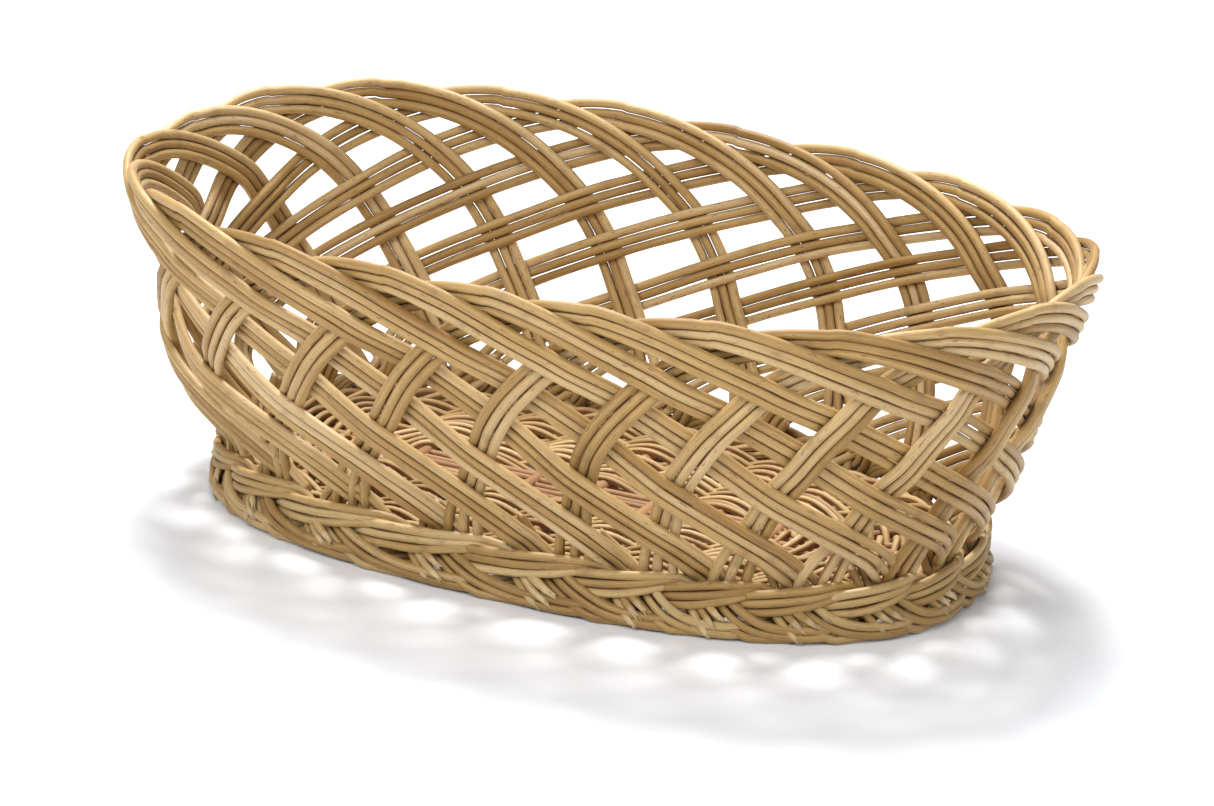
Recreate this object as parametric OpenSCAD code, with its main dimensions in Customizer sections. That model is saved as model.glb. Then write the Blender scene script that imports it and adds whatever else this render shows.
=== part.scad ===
// Oval openwork bread basket plaited from peeled willow rods.
// The origin is on the table, at the middle of the foot. +X runs along the basket, +Z is up.

/* [Basket] */
// Length of the wall's middle surface at the rim
rim_length = 355; // [340:1:372]
// Width of the wall's middle surface at the rim
rim_width = 229; // [220:1:244]
// Length of the wall where it leaves the foot
foot_length = 290; // [284:1:298]
// Width of the wall where it leaves the foot
foot_width = 167; // [162:1:172]
// Height of the wall's middle surface at the rim
basket_height = 123; // [116:1:130]
// Height of the plaited foot
foot_height = 21; // [20:1:22]
// Shape of the oval: 2 is an ellipse, more is squarer
oval_power = 2.45; // [2.2:0.05:2.6]
// How far the wall swells out low down
belly = 2.5; // [0:0.5:4]

/* [Rods] */
// Thickness of a wall rod
rod_d = 3.6; // [3.2:0.1:3.7]
// Distance between the rods that lie side by side in a strand
rod_pitch = 3.8; // [3.7:0.1:4]
// Thickness of a rod in the foot plait
plait_rod_d = 3.1; // [2.8:0.1:3.2]
// Distance between the rods of the foot plait
plait_pitch = 3.2; // [3.2:0.1:3.4]

/* [Weave] */
// How far along the rim a strand takes to climb from the foot to its crest, in strand spacings
climb_run = 2.4; // [2.3:0.05:2.5]
// Height of a strand's middle rod at its crest, as a share of the wall
crest_level = 0.945; // [0.93:0.005:0.95]
// How much height a strand loses in one spacing on its way down
fall = 0.2; // [0.19:0.005:0.21]

/* [Base] */
// Thickness of the base sticks
stick_d = 5.2; // [4.6:0.1:5.4]
// Height of the middle of the base
base_z = 9.5; // [9:0.1:10]

/* [Hidden] */
strands = 22;
rods = 3;
sides = 4;
// Where the first crest stands, in spacings round from the +X end
first_crest = 0.3;

willow = [0.82, 0.68, 0.44];
willow_warm = [0.78, 0.62, 0.38];
willow_brown = [0.72, 0.55, 0.36];

foot_a = foot_length / 2;
foot_b = foot_width / 2;
rim_a = rim_length / 2;
rim_b = rim_width / 2;
wall_height = basket_height - foot_height;
// How far the wall leans out for each millimetre of height
lean = (rim_a - foot_a) / wall_height;
// Height of a plait's middle rod where the lowest rod lies flat on the floor
floor_z = plait_pitch + plait_rod_d * sqrt(PI) / 4;

// Two-digit numbers keep the nodes in order.
function strand_name(start, i) = str(start, i < 10 ? "0" : "", i);

function unit(v) = v / norm(v);

// Point of the oval with half axes 1 at a polar angle.
function oval(angle) =
    let (c = cos(angle), s = sin(angle))
    [c, s] * pow(pow(abs(c), oval_power) + pow(abs(s), oval_power), -1 / oval_power);

// Girth of the rim against the polar angle.
oval_steps = 120;
function rim_point(k) = let (p = oval(360 * k / oval_steps)) [rim_a * p.x, rim_b * p.y];
girth = [
    for (k = 0, s = 0; k <= oval_steps; s = s + norm(rim_point(k + 1) - rim_point(k)), k = k + 1)
        [s, 360 * k / oval_steps]
];
spacing = girth[oval_steps][0] / (strands + 2);
// The strands stand wider apart along the +Y wall and beyond the -X end, by two spacings in all.
function ease(s) = let (c = min(max(s, 0), 1)) c * c * (3 - 2 * c);
function spread(u) =
    let (w = u - strands * floor(u / strands))
    w + 1.5 * ease((w - 0.5) / 10) + 0.5 * ease((w - 12) / 3.5);
function angle_at(u) = lookup(spread(u) * spacing, girth);

// Share of the way from the foot oval to the rim oval at height share t.
function flare(t) =
    let (h = max(t, 0))
    h + belly / (rim_a - foot_a) * 6.75 * h * pow(1 - h, 2);

// Horizontal direction straight out of the oval, u spacings round from the +X end.
function outward(u) =
    let (p = oval(angle_at(u)),
         x = sign(p.x) * pow(abs(p.x), oval_power - 1) / rim_a,
         y = sign(p.y) * pow(abs(p.y), oval_power - 1) / rim_b)
    unit([x, y, 0]);

function wall_normal(u) = unit(outward(u) - [0, 0, lean]);

// Point u spacings round, at height share t, and a distance out of the wall's middle surface.
function wall_point(u, t, out) =
    let (p = oval(angle_at(u)),
         f = flare(t),
         a = foot_a + (rim_a - foot_a) * f,
         b = foot_b + (rim_b - foot_b) * f)
    [a * p.x, b * p.y, foot_height + wall_height * t] + out * wall_normal(u);

// Point u spacings round the foot, at a height and a distance out of the wall's lower edge.
function foot_point(u, height, out) =
    let (p = oval(angle_at(u)))
    [foot_a * p.x, foot_b * p.y, height] + out * outward(u);

// A strand climbs steeply to its crest at v = 0, then runs down round the wall at a shallow slope, and in the end dives
// behind the foot plait.
dive_from = 4.7;
function climb_v(t) = -climb_run * pow(1 - pow(max(t, 0) / crest_level, 1.8), 1 / 1.8);
function run_down_t(v) =
    let (t = crest_level - fall * (norm([v, 0.6]) - 0.6), past = v - dive_from)
    (t + norm([t, 0.13])) / 2 - 0.08 * (past + norm([past, 0.15]));

// Stations of the climb, [height share, distance out of the wall]. It starts in the edge of the base.
climb = [
    [-0.11, -15], [-0.1, -3], [-0.02, 1.7], [0.05, 1.6], [0.12, -2], [0.3, -2], [0.4, 2.1], [0.63, 2.1],
    [0.71, -2], [0.82, -2], [0.92, -1.2]
];
// Stations of the run down, [spacings past the crest, distance out of the wall].
run_down = [
    [0, 0], [0.4, 1.8], [0.9, 3.1], [1.75, 2.1], [2.12, -2], [3.15, -2],
    [3.5, 2], [4.15, 2.1], [4.65, 1.9], [4.95, -2], [5.25, -3.8]
];
// A strand's route as [spacings round from its crest, height share, distance out of the wall].
strand_route = concat(
    [for (s = climb) [climb_v(s[0]), s[0], s[1]]],
    [for (s = run_down) [s[0], run_down_t(s[0]), s[1]]]
);

// The foot plait takes over where a strand ends: [spacings past the crest, height in mm, distance out of the foot].
// It comes out below an arc of the plait as a diagonal, lies on the floor, goes in, rises as an arc itself and ends in
// cut ends below the arc after it.
plait_route = [
    [5.27, 19.2, -3.4], [5.38, 15.6, -2], [5.54, 11.6, 0.8], [5.82, 6.8, 3.6], [6.15, floor_z, 4], [6.75, floor_z, 3.2],
    [7.1, 6, -1.2], [7.4, 8.8, -3.6], [7.72, 12.2, 0], [8, 14, 2.8], [8.45, 15.6, 3.4], [8.8, 16, 0.8],
    [9.02, 14.8, -1.8], [9.2, 11.6, 0], [9.42, 6.8, 4.4]
];

// Sweeps one rod along its centres, shifted across the route in the wall's surface.
// The square section has the area of the round rod.
module rod(centres, normals, shift, d) {
    n = len(centres);
    corner = d * sqrt(PI / 8);
    dirs = [for (i = [0:n - 1]) unit(centres[min(i + 1, n - 1)] - centres[max(i - 1, 0)])];
    across = [for (i = [0:n - 1]) unit(cross(normals[i], dirs[i]))];
    points = [
        for (i = [0:n - 1], k = [0:sides - 1])
            let (a = 360 * (k + 0.5) / sides)
            centres[i] + shift * across[i] + corner * (cos(a) * across[i] + sin(a) * cross(dirs[i], across[i]))
    ];
    skin = [
        for (i = [0:n - 2], k = [0:sides - 1])
            let (a = i * sides + k, b = i * sides + (k + 1) % sides)
            each [[a, a + sides, b], [b, a + sides, b + sides]]
    ];
    start_cap = [for (k = [0:sides - 1]) k];
    end_cap = [for (k = [sides - 1:-1:0]) (n - 1) * sides + k];
    polyhedron(points, concat([start_cap, end_cap], skin));
}

// Rods lying side by side.
module strand(centres, normals, thickness, pitch) {
    for (j = [0:rods - 1])
        rod(centres, normals, (j - (rods - 1) / 2) * pitch, thickness);
}

module wall_strand(i) {
    start = i + first_crest;
    color(willow)
        strand(
            [for (s = strand_route) wall_point(start + s[0], s[1], s[2])],
            [for (s = strand_route) wall_normal(start + s[0])],
            rod_d,
            rod_pitch
        );
}

module foot_plait(i) {
    start = i + first_crest;
    color(willow_warm)
        strand(
            [for (s = plait_route) foot_point(start + s[0], s[1], s[2])],
            [for (s = plait_route) outward(start + s[0])],
            plait_rod_d,
            plait_pitch
        );
}

// Outline of the base, drawn in by a distance from the foot oval.
module base_oval(inset) {
    polygon([for (k = [0:35]) let (p = oval(10 * k)) [(foot_a - inset) * p.x, (foot_b - inset) * p.y]]);
}

module oval_ring(inset, width, bottom, height) {
    translate([0, 0, bottom])
        linear_extrude(height)
            difference() {
                base_oval(inset);
                base_oval(inset + width);
            }
}

cross_sticks = 9;
cross_gap = 24;
long_sticks = 5;
long_gap = 4.4;
long_stick_d = 3.2;
base_edge = 9;

// Thick sticks across the base, each slit in the middle for the long sticks.
module base_cross_sticks() {
    color(willow_brown)
        for (i = [0:cross_sticks - 1]) {
            x = (i - (cross_sticks - 1) / 2) * cross_gap;
            half = (foot_b - base_edge) * pow(1 - pow(abs(x) / (foot_a - base_edge), oval_power), 1 / oval_power);
            difference() {
                translate([x, half, base_z])
                    rotate([90, 0, 0])
                        cylinder(h = 2 * half, d = stick_d, $fn = 24);
                translate([x - stick_d, -long_sticks * long_gap / 2 - 0.3, base_z - long_stick_d / 2 - 0.1])
                    cube([2 * stick_d, long_sticks * long_gap + 0.6, long_stick_d + 0.2]);
            }
        }
}

// Long sticks threaded through the slits.
module base_long_sticks() {
    color(willow_brown)
        for (i = [0:long_sticks - 1]) {
            y = (i - (long_sticks - 1) / 2) * long_gap;
            translate([-foot_a + base_edge + 5, y, base_z])
                rotate([0, 90, 0])
                    cylinder(h = 2 * (foot_a - base_edge - 5), d = long_stick_d, $fn = 24);
        }
}

// Sticks that fan out at the round ends of the base.
module base_end_sticks() {
    color(willow_brown)
        for (end = [0, 180], angle = [-50, -25, 25, 50])
            rotate([0, 0, end])
                translate([cross_gap * (cross_sticks - 1) / 2 + 4, angle * 0.4, base_z])
                    rotate([0, 90, angle])
                        cylinder(h = 33, d = long_stick_d, $fn = 24);
}

weave_rings = 8;
weave_pitch = 7;
weave_width = 6.4;
weave_d = 2.3;

module base_weave(bottom) {
    color(willow)
        for (i = [0:weave_rings - 1])
            oval_ring(base_edge + 4 + i * weave_pitch, weave_width, bottom, weave_d);
}

module base_weave_upper() {
    base_weave(base_z + stick_d / 2 + 0.1);
}

module base_weave_lower() {
    base_weave(base_z - stick_d / 2 - 0.1 - weave_d);
}

// Two turns of waling round the edge of the base, where the strands turn up.
module base_wale() {
    color(willow_brown)
        for (z = [0, 1])
            oval_ring(base_edge - 0.6, 4, base_z - 3.5 + 3.6 * z, 3.4);
}

for (i = [1:strands]) {
    wall_strand(i);
    foot_plait(i);
}
base_cross_sticks();
base_long_sticks();
base_end_sticks();
base_weave_upper();
base_weave_lower();
base_wale();
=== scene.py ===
"""Looks of an oval openwork bread basket plaited from peeled willow rods.

Shapes are worked out in millimetres and turned into metres where a mesh, a light or the camera is made.
"""

import math

import bpy
import numpy as np
from mathutils import Matrix, Vector


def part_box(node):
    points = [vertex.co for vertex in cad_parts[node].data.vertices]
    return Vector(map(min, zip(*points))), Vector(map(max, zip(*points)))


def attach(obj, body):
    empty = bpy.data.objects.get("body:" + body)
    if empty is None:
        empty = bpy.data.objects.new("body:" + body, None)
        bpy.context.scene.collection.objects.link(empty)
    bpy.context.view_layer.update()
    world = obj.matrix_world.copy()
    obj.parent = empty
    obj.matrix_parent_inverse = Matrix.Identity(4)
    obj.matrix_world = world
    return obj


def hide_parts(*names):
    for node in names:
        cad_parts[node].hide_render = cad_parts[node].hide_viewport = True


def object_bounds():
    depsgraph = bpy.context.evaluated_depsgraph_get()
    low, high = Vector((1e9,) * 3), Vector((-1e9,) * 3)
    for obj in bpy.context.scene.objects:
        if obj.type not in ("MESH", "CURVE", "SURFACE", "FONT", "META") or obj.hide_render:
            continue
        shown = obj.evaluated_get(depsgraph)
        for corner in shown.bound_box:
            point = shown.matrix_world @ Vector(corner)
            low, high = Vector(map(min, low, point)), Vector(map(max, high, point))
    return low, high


MM = 0.001

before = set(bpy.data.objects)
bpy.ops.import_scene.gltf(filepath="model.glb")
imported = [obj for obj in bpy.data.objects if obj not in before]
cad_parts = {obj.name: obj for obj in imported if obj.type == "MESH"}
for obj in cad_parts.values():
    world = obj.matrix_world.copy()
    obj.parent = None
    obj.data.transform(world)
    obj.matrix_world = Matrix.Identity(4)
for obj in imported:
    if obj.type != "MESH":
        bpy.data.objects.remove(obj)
cad_low, cad_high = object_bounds()
random = np.random.default_rng(24)


# ---------------------------------------------------------------- the basket's form, from the frame

STRANDS = 22
RODS = 3
OVAL_POWER = 2.45
ROD = 3.6
ROD_PITCH = 3.72
FOOT_ROD = 3.1
FOOT_PITCH = 3.1
FOOT_HEIGHT = 21.0
FIRST_CREST = 0.3
BELLY = 2.5
# How far the wall's middle surface lies outside the waling at the foot, and inside the CAD's box at the rim.
WALE_INSET = 8.4
RIM_INSET_X = 2.3
RIM_INSET_Y = 2.4
RIM_INSET_TOP = 0.3

wale_low, wale_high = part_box("base_wale")
sticks_low, sticks_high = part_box("base_cross_sticks")
foot_a = wale_high.x / MM + WALE_INSET
foot_b = wale_high.y / MM + WALE_INSET
rim_a = cad_high.x / MM - RIM_INSET_X
rim_b = cad_high.y / MM - RIM_INSET_Y
rim_top = cad_high.z / MM - RIM_INSET_TOP
wall_height = rim_top - FOOT_HEIGHT
lean = (rim_a - foot_a) / wall_height
base_z = (sticks_low.z + sticks_high.z) / 2 / MM
stick_d = (sticks_high.z - sticks_low.z) / MM


def unit(v):
    """The vectors at length 1."""
    return v / np.linalg.norm(v, axis=-1, keepdims=True)


def oval(angle):
    """Points of the oval with half axes 1, at polar angles in radians."""
    c, s = np.cos(angle), np.sin(angle)
    reach = (np.abs(c) ** OVAL_POWER + np.abs(s) ** OVAL_POWER) ** (-1 / OVAL_POWER)
    return c * reach, s * reach


def girth_table(a, b):
    """Polar angles and the length along the oval with half axes a and b up to each of them."""
    angles = np.linspace(0, 2 * np.pi, 1441)
    x, y = oval(angles)
    steps = np.hypot(np.diff(a * x), np.diff(b * y))
    return angles, np.concatenate([[0], np.cumsum(steps)])


rim_angles, rim_girth = girth_table(rim_a, rim_b)
rim_spacing = rim_girth[-1] / (STRANDS + 2)


def ease(share):
    """Rises smoothly from 0 to 1 as the share does."""
    share = np.clip(share, 0, 1)
    return share ** 2 * (3 - 2 * share)


def angle_at(u):
    """Polar angle u strands round the rim from the +X end.

    The strands stand wider apart along the +Y wall and beyond the -X end, by two spacings in all.
    """
    w = np.mod(u, STRANDS)
    place = w + 1.5 * ease((w - 0.5) / 10) + 0.5 * ease((w - 12) / 3.5)
    return np.interp(place * rim_spacing, rim_girth, rim_angles)


def outward(u):
    """Level direction straight out of the oval, u strands round."""
    x, y = oval(angle_at(u))
    power = OVAL_POWER - 1
    out_x = np.sign(x) * np.abs(x) ** power / rim_a
    out_y = np.sign(y) * np.abs(y) ** power / rim_b
    return unit(np.stack([out_x, out_y, 0 * x], -1))


def wall_normal(u):
    """Direction straight out of the flared wall, u strands round."""
    return unit(outward(u) - np.array([0, 0, lean]))


def wall_point(u, t):
    """Point of the wall's middle surface u strands round, at height share t."""
    x, y = oval(angle_at(u))
    h = np.maximum(t, 0)
    # The 27 / 4 makes the wall's belly BELLY deep where it is deepest.
    flare = (rim_a - foot_a) * h + BELLY * (27 / 4) * h * (1 - h) ** 2
    # The -X end stands a little further in at the foot, swells above it and is hollow below the rim.
    end = np.clip(-x, 0, 1) ** 2
    tuck = 6.5 * np.clip(1 - h / 0.4, 0, 1) ** 2
    swell = 5.0 * np.sin(2 * np.pi * np.clip(h, 0, 1) ** 0.85)
    flare_x = flare - end * (tuck - swell)
    # The +Y rim is a little higher towards the -X end, and so are the bands that land beyond that end.
    landing = np.exp(-((np.mod(u, STRANDS) - 13) / 2) ** 2 - ((t - 0.12) / 0.16) ** 2)
    rise = 4 * landing - 3.4 * h * x * np.clip(y, 0, 1)
    return np.stack([(foot_a + flare_x) * x, (foot_b + flare) * y, FOOT_HEIGHT + wall_height * t + rise], -1)


def settled(u):
    """Where a rod meant to stand at u stands at the foot, which is plaited by hand and not evenly spaced.

    The rods near 14.5 stand further back and those near 17.4 further ahead, with a wide gap between them.
    """
    from_ahead = (u - 17.4 + STRANDS / 2) % STRANDS - STRANDS / 2
    from_back = (u - 14.5 + STRANDS / 2) % STRANDS - STRANDS / 2
    return u - 0.25 + 0.38 * np.exp(-((from_ahead / 1.3) ** 2)) - 0.3 * np.exp(-((from_back / 1.5) ** 2))


# ---------------------------------------------------------------- sweeping rods into meshes


def smooth(values, step, reach):
    """Evens out values sampled every step over about reach, and keeps the ends where they are."""
    count = max(1, int(3 * reach / step))
    kernel = np.exp(-0.5 * (np.arange(-count, count + 1) * step / reach) ** 2)
    kernel /= kernel.sum()
    padded = np.concatenate([
        2 * values[:1] - values[count:0:-1],
        values,
        2 * values[-1:] - values[-2:-count - 2:-1],
    ])
    if values.ndim == 1:
        return np.convolve(padded, kernel, "valid")
    return np.stack([np.convolve(padded[:, k], kernel, "valid") for k in range(values.shape[1])], -1)


def lengths(points):
    """Length along the line up to each of its points."""
    return np.concatenate([[0], np.cumsum(np.linalg.norm(np.diff(points, axis=0), axis=1))])


def resample(points, step):
    """The same line with points every step."""
    along = lengths(points)
    count = max(3, int(round(along[-1] / step)) + 1)
    wanted = np.linspace(0, along[-1], count)
    return np.stack([np.interp(wanted, along, points[:, k]) for k in range(points.shape[1])], -1)


def wander(along, amount, wavelength):
    """A slow, smooth drift along a rod, a different one each time."""
    phases = random.uniform(0, 2 * np.pi, 3)
    waves = wavelength * random.uniform(0.7, 1.4, 3) * np.array([1, 0.6, 0.37])
    shares = np.array([0.6, 0.3, 0.15])
    return amount * (shares * np.sin(2 * np.pi * along[:, None] / waves + phases)).sum(1)


def rod(
    points, normals, thickness, sides=12,
    start_cut=0.0, end_cut=0.0, flat=1.0, ragged=0.0, knots=0.0, wedge=0.0,
):
    """Arrays of one rod swept along points.

    A cut is the slant of an end in half widths, flat the thickness along the normals against the width, ragged
    how far the fibres of the ends stick out, knots how many there are in a millimetre, and wedge the length over
    which the far end is pared down.
    """
    tangents = unit(np.gradient(points, axis=0))
    across = unit(np.cross(normals, tangents))
    out = np.cross(tangents, across)
    along = lengths(points)
    radius = np.broadcast_to(np.asarray(thickness, float) / 2, along.shape).copy()
    radius *= 1 + wander(along, 0.035, 45)
    if wedge > 0:
        radius *= 1 - 0.45 * np.clip(1 - (along[-1] - along) / wedge, 0, 1)
    knot = np.zeros_like(along)
    if knots > 0:
        place = random.uniform(0, 1 / knots)
        while place < along[-1]:
            bump = np.exp(-0.5 * ((along - place) / 1.3) ** 2)
            knot = np.maximum(knot, bump * random.uniform(0.4, 1))
            place += random.uniform(0.6, 1.7) / knots
    theta = 2 * np.pi * np.arange(sides) / sides
    knot_side = random.uniform(0, 2 * np.pi)
    swell = 1 + 0.06 * knot[:, None] * (0.4 + 0.6 * np.cos(theta - knot_side) ** 2)
    c = np.cos(theta) * radius[:, None] * swell
    s = np.sin(theta) * radius[:, None] * swell * flat
    rings = points[:, None] + c[..., None] * across[:, None] + s[..., None] * out[:, None]
    slant = random.uniform(0, 2 * np.pi)
    for end, cut, sign in ((0, start_cut, -1), (-1, end_cut, 1)):
        shift = cut * radius[end] * np.cos(theta - slant) + ragged * random.uniform(-1, 1, sides)
        rings[end] += sign * shift[:, None] * tangents[end]
    n = len(points)
    verts = np.concatenate([rings.reshape(-1, 3), rings[0].mean(0)[None], rings[-1].mean(0)[None]])
    i, k = np.meshgrid(np.arange(n - 1), np.arange(sides), indexing="ij")
    a = i * sides + k
    b = i * sides + (k + 1) % sides
    quads = np.stack([a, b, b + sides, a + sides], -1).reshape(-1, 4)
    k = np.arange(sides)
    first = np.stack([np.full(sides, n * sides), (k + 1) % sides, k], -1)
    last = np.stack([np.full(sides, n * sides + 1), (n - 1) * sides + k, (n - 1) * sides + (k + 1) % sides], -1)
    start = random.uniform(0, 900)
    u = along[quads // sides] + start
    turn = np.stack([k, k + 1, k + 1, k], -1) / sides
    v = np.tile(turn, (n - 1, 1))
    cap_u = np.concatenate([np.full(3 * sides, start), np.full(3 * sides, start + along[-1])])
    cap_v = np.zeros(6 * sides)
    return {
        "verts": verts,
        "quads": quads,
        "tris": np.concatenate([first, last]),
        "uv": np.concatenate([
            np.stack([u.ravel(), v.ravel()], -1),
            np.stack([cap_u, cap_v], -1),
        ]),
        "tone": np.full(len(verts), random.uniform(0, 1)),
        "cut": np.concatenate([np.zeros(n * sides), [1.0, 1.0]]),
        "knot": np.concatenate([np.repeat(knot, sides), [0.0, 0.0]]),
        "side": np.zeros(len(verts)),
    }


def piece(name, rods, material, nodes):
    """One mesh object of several rods, in place of the CAD nodes."""
    verts, loops, starts, totals, uvs = [], [], [], [], []
    layers = {"tone": [], "cut": [], "knot": [], "side": []}
    base = 0
    loop_at = 0
    for r in rods:
        verts.append(r["verts"])
        quads = r["quads"] + base
        tris = r["tris"] + base
        loops.append(np.concatenate([quads.ravel(), tris.ravel()]))
        quad_starts = 4 * np.arange(len(quads))
        tri_starts = 4 * len(quads) + 3 * np.arange(len(tris))
        starts.append(loop_at + np.concatenate([quad_starts, tri_starts]))
        totals.append(np.concatenate([np.full(len(quads), 4), np.full(len(tris), 3)]))
        uvs.append(r["uv"])
        for label, values in layers.items():
            values.append(r[label])
        loop_at += 4 * len(quads) + 3 * len(tris)
        base += len(r["verts"])
    verts = np.concatenate(verts) * MM
    loops = np.concatenate(loops)
    starts = np.concatenate(starts)
    mesh = bpy.data.meshes.new(name)
    mesh.vertices.add(len(verts))
    mesh.vertices.foreach_set("co", verts.ravel())
    mesh.loops.add(len(loops))
    mesh.loops.foreach_set("vertex_index", loops.astype(np.int32))
    mesh.polygons.add(len(starts))
    mesh.polygons.foreach_set("loop_start", starts.astype(np.int32))
    mesh.update(calc_edges=True)
    mesh.validate()
    uv_layer = mesh.uv_layers.new(name="rod")
    uv_layer.data.foreach_set("uv", (np.concatenate(uvs) * [MM, 1]).ravel())
    for label, values in layers.items():
        layer = mesh.attributes.new(label, "FLOAT", "POINT")
        layer.data.foreach_set("value", np.concatenate(values))
    mesh.polygons.foreach_set("use_smooth", np.concatenate(totals) == 4)
    mesh.materials.append(material)
    made = bpy.data.objects.new(name, mesh)
    bpy.context.scene.collection.objects.link(made)
    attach(made, "root")
    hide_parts(*nodes)
    return made


# ---------------------------------------------------------------- willow


def willow(name, light, honey, dark, roughness=0.48):
    """Peeled willow: lengthwise grain, slow colour changes, dark flecks and small knots."""
    material = bpy.data.materials.new(name)
    material.use_nodes = True
    tree = material.node_tree
    nodes, links = tree.nodes, tree.links
    nodes.clear()

    def add(kind, **settings):
        made = nodes.new(kind)
        for key, value in settings.items():
            setattr(made, key, value)
        return made

    def math_node(operation, first, second, clamp=False):
        made = add("ShaderNodeMath", operation=operation, use_clamp=clamp)
        for socket, value in zip(made.inputs, (first, second)):
            if isinstance(value, (int, float)):
                socket.default_value = value
            else:
                links.new(value, socket)
        return made.outputs[0]

    def noise(vector, scale, detail=3.0, rough=0.55):
        made = add("ShaderNodeTexNoise")
        made.inputs["Scale"].default_value = scale
        made.inputs["Detail"].default_value = detail
        made.inputs["Roughness"].default_value = rough
        links.new(vector, made.inputs["Vector"])
        return made.outputs["Fac"]

    def ramp(factor, stops):
        made = add("ShaderNodeValToRGB")
        elements = made.color_ramp.elements
        while len(elements) < len(stops):
            elements.new(0.5)
        for element, (position, colour) in zip(elements, stops):
            element.position = position
            element.color = (*colour, 1)
        links.new(factor, made.inputs["Fac"])
        return made.outputs["Color"]

    def mix(factor, first, second, blend="MIX"):
        made = add("ShaderNodeMix", data_type="RGBA", blend_type=blend)
        for socket, value in zip((made.inputs[0], made.inputs[6], made.inputs[7]), (factor, first, second)):
            if isinstance(value, (int, float)):
                socket.default_value = value
            elif isinstance(value, tuple):
                socket.default_value = (*value, 1)
            else:
                links.new(value, socket)
        return made.outputs[2]

    def attribute(label):
        return add("ShaderNodeAttribute", attribute_name=label).outputs["Fac"]

    uv = add("ShaderNodeUVMap", uv_map="rod")
    along_and_round = add("ShaderNodeSeparateXYZ")
    links.new(uv.outputs["UV"], along_and_round.inputs[0])
    tone = attribute("tone")
    # The rod's own coordinates: its length, and round the rod as a circle so that no seam shows.
    turn = math_node("MULTIPLY", along_and_round.outputs["Y"], 2 * math.pi)
    grain_place = add("ShaderNodeCombineXYZ")
    links.new(math_node("MULTIPLY", along_and_round.outputs["X"], 9.0), grain_place.inputs[0])
    links.new(math_node("COSINE", turn, 0), grain_place.inputs[1])
    links.new(math_node("SINE", turn, 0), grain_place.inputs[2])
    fleck_place = add("ShaderNodeCombineXYZ")
    links.new(math_node("MULTIPLY", along_and_round.outputs["X"], 130.0), fleck_place.inputs[0])
    links.new(math_node("COSINE", turn, 0), fleck_place.inputs[1])
    links.new(math_node("SINE", turn, 0), fleck_place.inputs[2])

    grain = noise(grain_place.outputs[0], 7.0, 4.0, 0.6)
    slow = noise(grain_place.outputs[0], 1.3, 2.0)
    flecks = noise(fleck_place.outputs[0], 2.1, 2.0, 0.5)
    place = add("ShaderNodeTexCoord").outputs["Object"]
    cloud = noise(place, 22.0, 2.0)

    shade = math_node("ADD", math_node("MULTIPLY", tone, 0.5), math_node("MULTIPLY", slow, 0.55))
    shade = math_node("ADD", shade, math_node("MULTIPLY", math_node("SUBTRACT", cloud, 0.5), 0.5))
    colour = ramp(shade, [(0.12, dark), (0.5, honey), (0.88, light)])
    streaks = ramp(grain, [(0.32, (0.5, 0.4, 0.28)), (0.52, (0.95, 0.93, 0.9)), (0.7, (1.0, 1.0, 1.0))])
    colour = mix(0.6, colour, streaks, "MULTIPLY")
    spot = ramp(flecks, [(0.63, (0, 0, 0)), (0.69, (1, 1, 1))])
    colour = mix(math_node("MULTIPLY", spot, 0.6), colour, (0.13, 0.055, 0.016))
    knot = math_node("MULTIPLY", attribute("knot"), noise(fleck_place.outputs[0], 0.9, 2.0), True)
    colour = mix(math_node("MULTIPLY", knot, 0.7), colour, (0.17, 0.08, 0.03))
    # Painted shade: the colour is darkened in the grooves where the rods of a strand touch, where shade falls
    # between them. This is on both sides of a rod whose side is 0, and on one side only of the outer rods, whose
    # side is 1 or -1.
    across = math_node("COSINE", turn, 0)
    side = attribute("side")
    inner = math_node("SUBTRACT", 1, math_node("ABSOLUTE", side, 0))
    both_sides = math_node("MULTIPLY", math_node("ABSOLUTE", across, 0), inner)
    touching = math_node("MAXIMUM", both_sides, math_node("MULTIPLY", across, side))
    painted_groove_shade = ramp(touching, [(0.84, (0, 0, 0)), (0.99, (1, 1, 1))])
    colour = mix(math_node("MULTIPLY", painted_groove_shade, 0.8), colour, (0.37, 0.19, 0.055), "MULTIPLY")
    colour = mix(math_node("MULTIPLY", attribute("cut"), 0.55), colour, (0.80, 0.66, 0.42))

    bump = add("ShaderNodeBump")
    bump.inputs["Strength"].default_value = 0.35
    bump.inputs["Distance"].default_value = 0.0004
    height = math_node("ADD", grain, math_node("MULTIPLY", flecks, 0.35))
    links.new(height, bump.inputs["Height"])
    shader = add("ShaderNodeBsdfPrincipled")
    links.new(colour, shader.inputs["Base Color"])
    links.new(math_node("ADD", roughness - 0.08, math_node("MULTIPLY", grain, 0.2)), shader.inputs["Roughness"])
    links.new(bump.outputs["Normal"], shader.inputs["Normal"])
    shader.inputs["Specular IOR Level"].default_value = 0.42
    shader.inputs["Sheen Weight"].default_value = 0.06
    output = add("ShaderNodeOutputMaterial")
    links.new(shader.outputs[0], output.inputs["Surface"])
    return material


wall_willow = willow("peeled_willow", (0.61, 0.45, 0.24), (0.45, 0.288, 0.1), (0.25, 0.125, 0.021))
foot_willow = willow("peeled_willow_foot", (0.54, 0.395, 0.19), (0.385, 0.243, 0.08), (0.225, 0.112, 0.019))
base_willow = willow("base_weaver_willow", (0.62, 0.45, 0.22), (0.48, 0.31, 0.12), (0.29, 0.155, 0.04), 0.5)
stick_willow = willow("base_stick_willow", (0.46, 0.25, 0.10), (0.34, 0.165, 0.058), (0.2, 0.085, 0.022), 0.6)


# ---------------------------------------------------------------- wall strands

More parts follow.
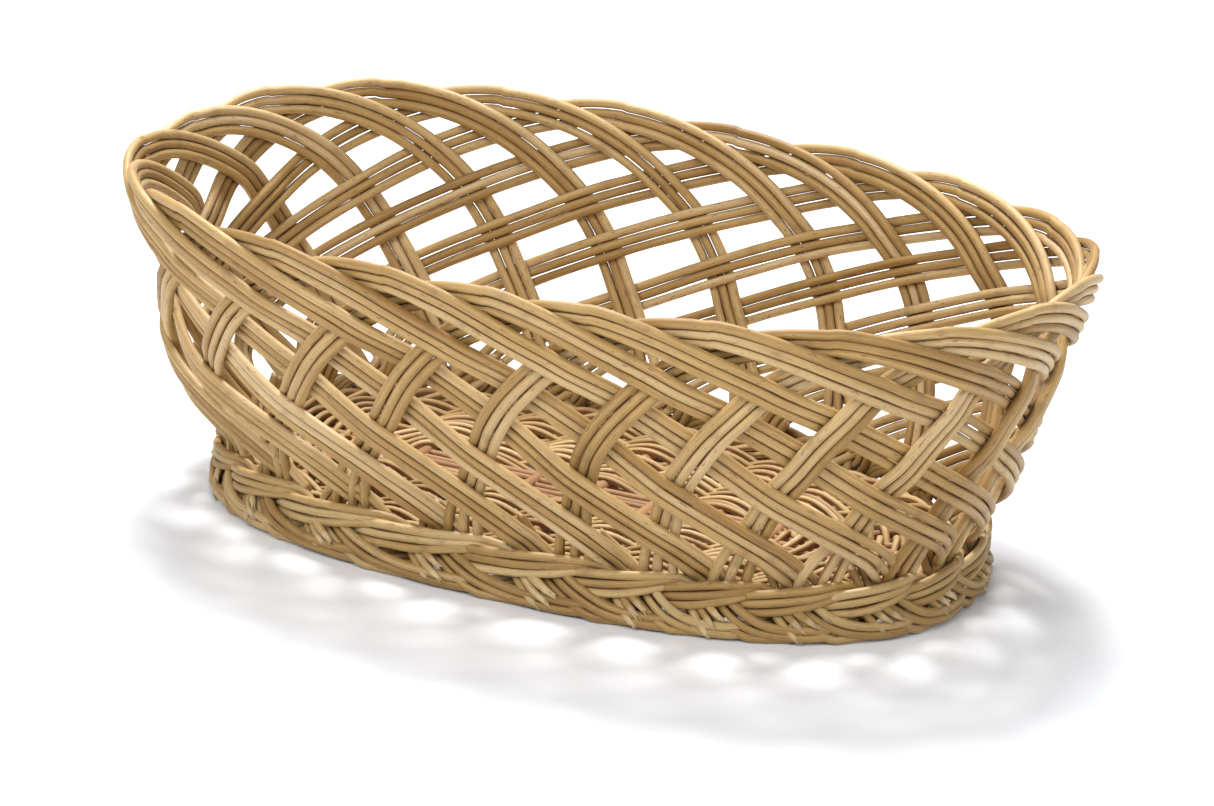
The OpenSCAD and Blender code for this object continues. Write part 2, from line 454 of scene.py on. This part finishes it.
# A strand climbs over CLIMB spacings to its crest at height share CREST, falls by FALL in each spacing once it is
# past FALL_START, levels out within LANDING of the foot and dives behind the plait from DIVE_FROM to RUN.
CLIMB = 2.33
CREST = 0.945
FALL = 0.212
FALL_START = 0.9
LANDING = 0.14
DIVE_FROM = 4.85
DIVE = 0.2
DIVE_EASE = 0.15
RUN = 5.45
# Where it starts, behind the foot plait.
ROOT = -0.12
STEP = 2.0
# How far out of the wall's middle surface a rod lies where it crosses another.
CROSSING = 1.9


def mean_spacing(t):
    """Length of one spacing at height share t, on a mean stretch of wall."""
    return rim_spacing * (foot_a + (rim_a - foot_a) * np.maximum(t, 0)) / rim_a


mean_climb = wall_height * math.hypot(1, lean)


def strand_line():
    """Middle line of a strand as [spacings past its crest, height share]."""
    psi = np.linspace(0, np.pi / 2, 400)
    climb = np.stack([-CLIMB * np.cos(psi), CREST * np.sin(psi)], -1)
    below = np.stack([np.full(20, -CLIMB), np.linspace(ROOT, ROOT / 20, 20)], -1)
    w = np.linspace(0.01, RUN, 500)
    fall = CREST - FALL * (np.hypot(w, FALL_START) - FALL_START)
    landing = (fall + np.hypot(fall, LANDING)) / 2
    past = w - DIVE_FROM
    dive = DIVE * (past + np.hypot(past, DIVE_EASE)) / 2
    return np.concatenate([below, climb, np.stack([w, landing - dive], -1)])


def to_flat(line):
    """The line unrolled to millimetres, as on a mean stretch of wall."""
    return np.stack([line[:, 0] * mean_spacing(0.5 + 0 * line[:, 0]), line[:, 1] * mean_climb], -1)


def shifted(line, shift):
    """The line moved sideways in the wall's surface, to the left of its run."""
    width = mean_spacing(line[:, 1])
    step = np.stack([np.gradient(line[:, 0]) * width, np.gradient(line[:, 1]) * mean_climb], -1)
    step = unit(step)
    return line + shift * np.stack([-step[:, 1] / width, step[:, 0] / mean_climb], -1)


def crossings(first, second):
    """Where line first crosses line second: pairs of indices, as fractions."""
    a, b = first[:-1], first[1:]
    c, d = second[:-1], second[1:]
    r = (b - a)[:, None]
    s = (d - c)[None]
    q = c[None] - a[:, None]
    bottom = r[..., 0] * s[..., 1] - r[..., 1] * s[..., 0]
    bottom = np.where(np.abs(bottom) < 1e-12, 1e-12, bottom)
    p = (q[..., 0] * s[..., 1] - q[..., 1] * s[..., 0]) / bottom
    g = (q[..., 0] * r[..., 1] - q[..., 1] * r[..., 0]) / bottom
    hit = (p >= 0) & (p < 1) & (g >= 0) & (g < 1)
    i, j = np.nonzero(hit)
    return [(i[k] + p[i[k], j[k]], j[k] + g[i[k], j[k]]) for k in range(len(i))]


# Whether the climbing strand lies outside (1) or inside (-1) where it crosses the strand m crests before it.
CLIMB_SIDE = {1: -1, 2: -1, 3: -1, 4: 1, 5: 1, 6: -1, 7: -1, 8: 1}
# How far out a strand lies round its crest: it comes from inside, lies on its neighbour and turns out.
CREST_OFFSETS = (
    (-0.55, -1.9), (-0.3, -1.0), (0, -0.2), (0.2, 0.9),
    (0.4, 1.9), (0.7, 2.6), (1.0, 3.3), (1.3, 2.9),
)
CREST_FROM = -0.55
CREST_TO = 1.5

middle = resample(to_flat(strand_line()), STEP) / np.array([mean_spacing(np.array(0.5)), mean_climb])
crest_index = int(np.argmax(middle[:, 1]))
rod_lines = [shifted(middle, (k - 1) * ROD_PITCH) for k in range(RODS)]
stations = np.arange(len(middle), dtype=float)


def rod_offsets(k):
    """How far rod k of a strand lies out of the wall's middle surface at each station."""
    marks = {}
    for m, side in CLIMB_SIDE.items():
        for other in range(RODS):
            earlier = rod_lines[other] - np.array([m, 0])
            for i, j in crossings(rod_lines[k][:crest_index], earlier[crest_index:]):
                if middle[int(i), 0] < CREST_FROM:
                    marks[i] = side * CROSSING
            later = rod_lines[other] + np.array([m, 0])
            for i, j in crossings(rod_lines[k][crest_index:], later[:crest_index]):
                if middle[int(i) + crest_index, 0] > CREST_TO:
                    marks[i + crest_index] = -side * CROSSING
    for v, out in CREST_OFFSETS:
        marks[float(np.interp(v, middle[:, 0], stations))] = out
    # Both ends lie behind the foot plait.
    marks[0.0] = -4.0
    marks[float(np.interp(-0.015, middle[:crest_index, 1], stations[:crest_index]))] = -0.8
    marks[stations[-1]] = -4.2
    places = np.array(sorted(marks))
    values = np.array([marks[p] for p in places])
    return smooth(np.interp(stations, places, values), STEP, 3.2)


offsets = [rod_offsets(k) for k in range(RODS)]


# Near the foot the climbing rods spread, most of all the hindmost one.
SPREADS = (-0.9, 0.2, 3.0)
spread = np.where(stations < crest_index, np.clip(1 - middle[:, 1] / 0.2, 0, 1), 0)
spread = smooth(ease(spread), STEP, 4.0)
# How far the climbing rods have come over to their uneven places at the foot.
low_share = np.where(stations < crest_index, np.clip(1 - middle[:, 1] / 0.45, 0, 1) ** 1.3, 0)
low_share = smooth(np.minimum(low_share, 1), STEP, 5.0)


def wall_strand(i):
    """The three rods of strand i."""
    start = i + FIRST_CREST + random.normal(0, 0.02)
    rise = random.normal(0, 0.004)
    along = stations * STEP
    drift = wander(along, 0.5, 160)
    u = start + middle[:, 0]
    u = u + low_share * (settled(u) - u)
    centre = wall_point(u, middle[:, 1] * (1 + rise))
    normals = wall_normal(u)
    tangents = unit(np.gradient(centre, axis=0))
    across = unit(np.cross(normals, tangents))
    rods = []
    for k in range(RODS):
        shift = (k - 1) * (ROD_PITCH + wander(along, 0.2, 110)) + drift + wander(along, 0.12, 110)
        shift += spread * (SPREADS[k] + random.normal(0, 0.5))
        out = offsets[k] + wander(along, 0.12, 90)
        points = centre + shift[:, None] * across + out[:, None] * normals
        thickness = ROD * random.uniform(0.95, 1.05) * np.linspace(1.03, 0.93, len(along))
        made = rod(points, normals, thickness, 12, 0.3, 0.5, 0.96, 0.0, 1 / 55)
        made["side"] += 1 - k
        rods.append(made)
    return rods


for i in range(1, STRANDS + 1):
    piece(f"willow_strand_{i:02d}", wall_strand(i), wall_willow, [f"wall_strand_{i:02d}"])


# ---------------------------------------------------------------- foot plait

# The plait's middle rod: spacings past the strand's crest, height, distance out of the wall's lower edge, and how
# far apart the rods lie. It comes down inside, shows below one arc, slants over the next, runs along the floor and
# goes in. Then it rises as an arc itself and ends outside, below the arc after it.
FOOT_ROUTE = np.array([
    (4.95, 27, -4.2, 1.1), (5.12, 22.8, -4.2, 1.1), (5.28, 18.4, -3.4, 1.1), (5.4, 14.8, -1.6, 1.15),
    (5.52, 11.6, 0.6, 1.15), (5.66, 8.6, 2.6, 1.15), (5.82, 5.8, 3.9, 1.1), (6.0, 3.8, 4.3, 1.0),
    (6.25, 2.6, 4.3, 0.9), (6.55, 2.2, 4.1, 0.9), (6.8, 2.2, 3.5, 0.9), (6.97, 3.0, 1.6, 0.9),
    (7.12, 4.8, -1.4, 0.9), (7.3, 7.4, -3.6, 0.9), (7.48, 9.8, -3.2, 0.9), (7.62, 11.2, -1.6, 0.95),
    (7.72, 12.2, 0.2, 1.0), (7.85, 13.2, 1.8, 1.05), (8.0, 14.0, 2.9, 1.12), (8.2, 15.0, 3.5, 1.12),
    (8.45, 16.4, 3.5, 0.98), (8.65, 17.4, 2.4, 0.75), (8.8, 18.0, 0.6, 0.55), (8.92, 17.8, -1.0, 0.45),
    (9.02, 16.8, -2.0, 0.5), (9.12, 14.8, -1.8, 0.7), (9.2, 12.6, -0.4, 0.85), (9.28, 10.2, 2.4, 0.95),
    (9.36, 8.0, 4.4, 1.05), (9.45, 5.8, 5.4, 1.15), (9.52, 4.2, 5.6, 1.2),
])
FOOT_STEP = 1.5
FOOT_SIDES = 12
# The last three rings of a foot rod and its end caps are part of the pale cut.
CUT_END = -2 - 3 * FOOT_SIDES


def fibres(tip, direction, normal):
    """A few torn fibres at the end of a cut rod."""
    made = []
    for _ in range(2):
        lift = random.normal(0, 0.35, 3)
        way = unit(direction + 0.09 * random.normal(0, 1, 3))
        start = tip - 2.5 * direction + lift
        line = start + np.linspace(0, random.uniform(3.5, 5.5), 5)[:, None] * way
        line[:, 2] = np.maximum(line[:, 2], 0.4)
        fibre = rod(line, np.tile(normal, (5, 1)), np.array([0.7, 0.65, 0.55, 0.45, 0.2]), 5)
        fibre["cut"] += 0.5
        made.append(fibre)
    return made


def foot_plait(i):
    """The three rods of the foot plait that take over from strand i."""
    start = i + FIRST_CREST + random.normal(0, 0.03)
    fine = np.linspace(0, len(FOOT_ROUTE) - 1, 800)
    route = np.stack([np.interp(fine, np.arange(len(FOOT_ROUTE)), FOOT_ROUTE[:, k]) for k in range(4)], -1)
    u = start + route[:, 0]
    # Down towards the floor the rods come over to their uneven places.
    u += np.clip((26 - route[:, 1]) / 10, 0, 1) * (settled(u) - u)
    points = wall_point(u, 0 * u) + outward(u) * route[:, 2:3]
    points[:, 2] = route[:, 1]
    joined = np.concatenate([points, u[:, None], route[:, 3:4]], 1)
    along = lengths(points)
    wanted = np.linspace(0, along[-1], int(along[-1] / FOOT_STEP))
    joined = np.stack([np.interp(wanted, along, joined[:, k]) for k in range(5)], -1)
    centre = smooth(joined[:, :3], FOOT_STEP, 2.6)
    pinch = smooth(joined[:, 4], FOOT_STEP, 4.0)
    normals = outward(joined[:, 3])
    tangents = unit(np.gradient(centre, axis=0))
    across = unit(np.cross(normals, tangents))
    along = lengths(centre)
    rods = []
    for k in range(RODS):
        shift = (k - 1) * (FOOT_PITCH + wander(along, 0.2, 50)) * pinch + wander(along, 0.25, 60)
        line = centre + shift[:, None] * across + wander(along, 0.25, 40)[:, None] * normals
        buried = np.maximum(FOOT_ROD * 0.5 - line[:, 2], 0)
        line += buried[:, None] * (np.array([0, 0, 1.0]) - normals)
        keep = len(line) - random.integers(0, 4)
        line, facing = line[:keep], normals[:keep]
        thickness = FOOT_ROD * random.uniform(0.93, 1.07)
        plaited = rod(line, facing, thickness, FOOT_SIDES, 0.5, 1.4, 0.95, 0.5, 1 / 60, 6.0)
        plaited["cut"][CUT_END:] = np.maximum(plaited["cut"][CUT_END:], 0.5)
        plaited["side"] += 1 - k
        rods.append(plaited)
        rods += fibres(line[-1], unit(line[-1] - line[-3]), facing[-1])
    return rods


for i in range(1, STRANDS + 1):
    piece(f"willow_foot_{i:02d}", foot_plait(i), foot_willow, [f"foot_plait_{i:02d}"])


# ---------------------------------------------------------------- base

CROSS_STICKS = 9
CROSS_GAP = 24.0
LONG_STICKS = 5
LONG_GAP = 4.4
LONG_STICK = 3.2
END_STICK = 3.6
END_LENGTH = 33
END_ANGLES = (-50, -25, 25, 50)
WEAVER = 2.7
WEAVER_GAP = 0.25
WEAVER_WAVE = 3.0
WALE_ROD = 2.9
WALE_RODS = 3
WALE_TWIST = 1.75
# How far inside the wall's lower edge the sticks end and the waling begins, and how wide the waling is.
EDGE = 9.0
WALE_WIDTH = 4.6


def straight(start, end, thickness):
    """A stick that is nearly straight."""
    count = max(4, int(np.linalg.norm(np.array(end) - start) / 4))
    line = np.linspace(start, end, count)
    along = lengths(line)
    line[:, 2] += wander(along, 0.25, 90)
    side = unit(np.cross(np.subtract(end, start), [0, 0, 1.0]))
    line += wander(along, 0.4, 90)[:, None] * side
    normals = np.tile([0, 0, 1.0], (count, 1))
    return rod(line, normals, thickness, 14, 0.3, 0.3, 1.0, 0.0, 1 / 45)


def half_width(x):
    """Half the length of a cross stick that lies x from the middle."""
    return (foot_b - EDGE) * (1 - (abs(x) / (foot_a - EDGE)) ** OVAL_POWER) ** (1 / OVAL_POWER)


cross_places = [(k - (CROSS_STICKS - 1) / 2) * CROSS_GAP for k in range(CROSS_STICKS)]
piece(
    "base_cross_rods",
    [straight([x, -half_width(x), base_z], [x, half_width(x), base_z], stick_d) for x in cross_places],
    stick_willow, ["base_cross_sticks"],
)
long_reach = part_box("base_long_sticks")[1].x / MM
long_places = [(k - (LONG_STICKS - 1) / 2) * LONG_GAP for k in range(LONG_STICKS)]
piece(
    "base_long_rods",
    [straight([-long_reach, y, base_z], [long_reach, y, base_z], LONG_STICK) for y in long_places],
    stick_willow, ["base_long_sticks"],
)
end_rods = []
end_directions = []
for side in (1, -1):
    for angle in END_ANGLES:
        turn = math.radians(angle)
        start = np.array([cross_places[-1] + 4, angle * 0.4, base_z])
        end = start + END_LENGTH * np.array([math.cos(turn), math.sin(turn), 0])
        flip = np.array([side, side, 1])
        end_rods.append(straight(start * flip, end * flip, END_STICK))
        end_directions.append((start * flip, end * flip))
piece("base_end_rods", end_rods, stick_willow, ["base_end_sticks"])


def weaving_round(inset, parity):
    """Line of one round of weaving that passes over one stick and under the next."""
    a, b = foot_a - inset, foot_b - inset
    angles, girth = girth_table(a, b)
    x, y = oval(angles)
    x, y = a * x, b * y
    # Where along the round it meets a stick. The long sticks count as one at each end.
    marks = []
    for place in cross_places:
        if abs(place) < a - 4:
            for sign in (1, -1):
                half = np.nonzero(y * sign > 0)[0]
                marks.append(girth[half[np.argmin(np.abs(x[half] - place))]])
    for start, end in end_directions:
        way = end - start
        side = (x - start[0]) * way[1] - (y - start[1]) * way[0]
        ahead = (x - start[0]) * way[0] + (y - start[1]) * way[1] > 0
        change = np.nonzero(ahead[:-1] & (side[:-1] * side[1:] < 0))[0]
        if len(change):
            marks.append(girth[change[0]])
    marks.append(girth[0] + 0.01)
    marks.append(girth[len(girth) // 2])
    marks = np.sort(np.array(marks))
    # An even number lets the round close.
    if len(marks) % 2:
        marks = np.delete(marks, 1)
    signs = np.where((np.arange(len(marks)) + parity) % 2 == 0, 1.0, -1.0)
    total = girth[-1]
    places = np.concatenate([marks - total, marks, marks + total])
    values = np.tile(signs, 3)
    count = int(total / 2.4)
    s = np.linspace(0, total, count, endpoint=False)
    wave = np.interp(s, places, values)
    wave = np.sin(wave * np.pi / 2)
    px = np.interp(s, girth, x)
    py = np.interp(s, girth, y)
    z = base_z + WEAVER_WAVE * wave
    return np.stack([px, py, z], -1)


def closed_rod(line):
    """A weaver that runs round once and overlaps its own start by a little, as a woven-in end does."""
    line = np.concatenate([line, line[:3]])
    along = lengths(line)
    line = line + np.stack([wander(along, 0.25, 60), wander(along, 0.25, 60), wander(along, 0.2, 60)], -1)
    normals = np.tile([0, 0, 1.0], (len(line), 1))
    return rod(line, normals, WEAVER * random.uniform(0.9, 1.06), 10, 0.6, 0.6, 0.92, 0.0, 1 / 50)


rounds = []
inset = EDGE + WALE_WIDTH
while foot_b - inset > LONG_STICKS * LONG_GAP / 2 + 2:
    rounds.append(closed_rod(weaving_round(inset, len(rounds) % 2)))
    inset += WEAVER + WEAVER_GAP
piece("base_weavers_outer", rounds[: len(rounds) // 2], base_willow, ["base_weave_upper"])
piece("base_weavers_inner", rounds[len(rounds) // 2:], base_willow, ["base_weave_lower"])


def wale_rope(inset, height, phase):
    """Three rods twisted together, with one turn for each strand, running round the edge of the base."""
    a, b = foot_a - inset, foot_b - inset
    angles, girth = girth_table(a, b)
    x, y = oval(angles)
    total = girth[-1]
    s = np.linspace(0, total, int(total / 1.6), endpoint=False)
    px, py = np.interp(s, girth, a * x), np.interp(s, girth, b * y)
    centre = np.stack([px, py, np.full_like(px, height)], -1)
    centre = np.concatenate([centre, centre[:4]])
    tangent = unit(np.gradient(centre, axis=0))
    side = unit(np.cross(tangent, [0, 0, 1.0]))
    normals = np.tile([0, 0, 1.0], (len(centre), 1))
    along = lengths(centre)
    ropes = []
    for k in range(WALE_RODS):
        turn = 2 * np.pi * (STRANDS * along / total + k / WALE_RODS + phase)
        line = centre + WALE_TWIST * (np.cos(turn)[:, None] * side + np.sin(turn)[:, None] * normals)
        ropes.append(rod(line, normals, WALE_ROD * random.uniform(0.93, 1.05), 10, 0.6, 0.6, 0.95, 0.0, 1 / 50))
    return ropes


piece(
    "base_waling",
    wale_rope(EDGE + 0.9, base_z - 1.6, 0.0) + wale_rope(EDGE + 1.5, base_z + 3.2, 0.2),
    base_willow, ["base_wale"],
)


# ---------------------------------------------------------------- floor, light and camera


def plain_material(name, colour, roughness):
    material = bpy.data.materials.new(name)
    material.use_nodes = True
    shader = material.node_tree.nodes["Principled BSDF"]
    shader.inputs["Base Color"].default_value = (*colour, 1)
    shader.inputs["Roughness"].default_value = roughness
    return material


bpy.ops.mesh.primitive_plane_add(size=8, location=(0, 0, -0.0002))
floor = bpy.context.object
floor.name = "floor"
floor.data.materials.append(plain_material("pale_floor", (0.83, 0.85, 0.885), 0.4))

world = bpy.data.worlds.new("studio")
bpy.context.scene.world = world
world.use_nodes = True
world.node_tree.nodes["Background"].inputs["Color"].default_value = (0.93, 0.96, 1, 1)
world.node_tree.nodes["Background"].inputs["Strength"].default_value = 0.33


def area_light(name, place, target, size, power, colour=(1, 1, 1)):
    data = bpy.data.lights.new(name, "AREA")
    data.shape = "DISK"
    data.size = size
    data.energy = power
    data.color = colour
    made = bpy.data.objects.new(name, data)
    made.location = place
    made.rotation_euler = (Vector(target) - Vector(place)).to_track_quat("-Z", "Y").to_euler()
    bpy.context.scene.collection.objects.link(made)


area_light("key", (-0.48, 0.68, 1.65), (0, 0, 0.05), 0.75, 58, (1.0, 0.985, 0.96))
area_light("front_left", (-0.4, -1.7, 1.45), (0, 0, 0.05), 1.3, 30)
area_light("front_right", (1.6, -0.9, 0.9), (0, 0, 0.05), 0.9, 12)

# The camera looks at the near long side from the +X end and a little above, and is rolled a little.
camera_data = bpy.data.cameras.new("camera")
camera = bpy.data.objects.new("camera", camera_data)
bpy.context.scene.collection.objects.link(camera)
bpy.context.scene.camera = camera
azimuth, elevation, distance, roll = math.radians(25.35), math.radians(18.68), 1.646, math.radians(3.15)
aim = Vector((0, 0, 0.06))
back = Vector((
    math.cos(elevation) * math.sin(azimuth),
    -math.cos(elevation) * math.cos(azimuth),
    math.sin(elevation),
))
place = aim + distance * back
right = (-back).cross(Vector((0, 0, 1))).normalized()
above = right.cross(-back)
# The basket sits a little above and left of the picture's middle.
forward = (aim + 0.00469 * right - 0.0131 * above - place).normalized()
right = forward.cross(Vector((0, 0, 1))).normalized()
above = right.cross(forward)
rolled_right = right * math.cos(roll) + above * math.sin(roll)
rolled_up = above * math.cos(roll) - right * math.sin(roll)
turned = Matrix((rolled_right, rolled_up, -forward)).transposed().to_4x4()
camera.matrix_world = Matrix.Translation(place) @ turned
camera_data.sensor_width = 36
camera_data.lens = 135.9
camera_data.clip_start = 0.1
camera_data.clip_end = 20

bpy.context.scene.view_settings.view_transform = "Standard"
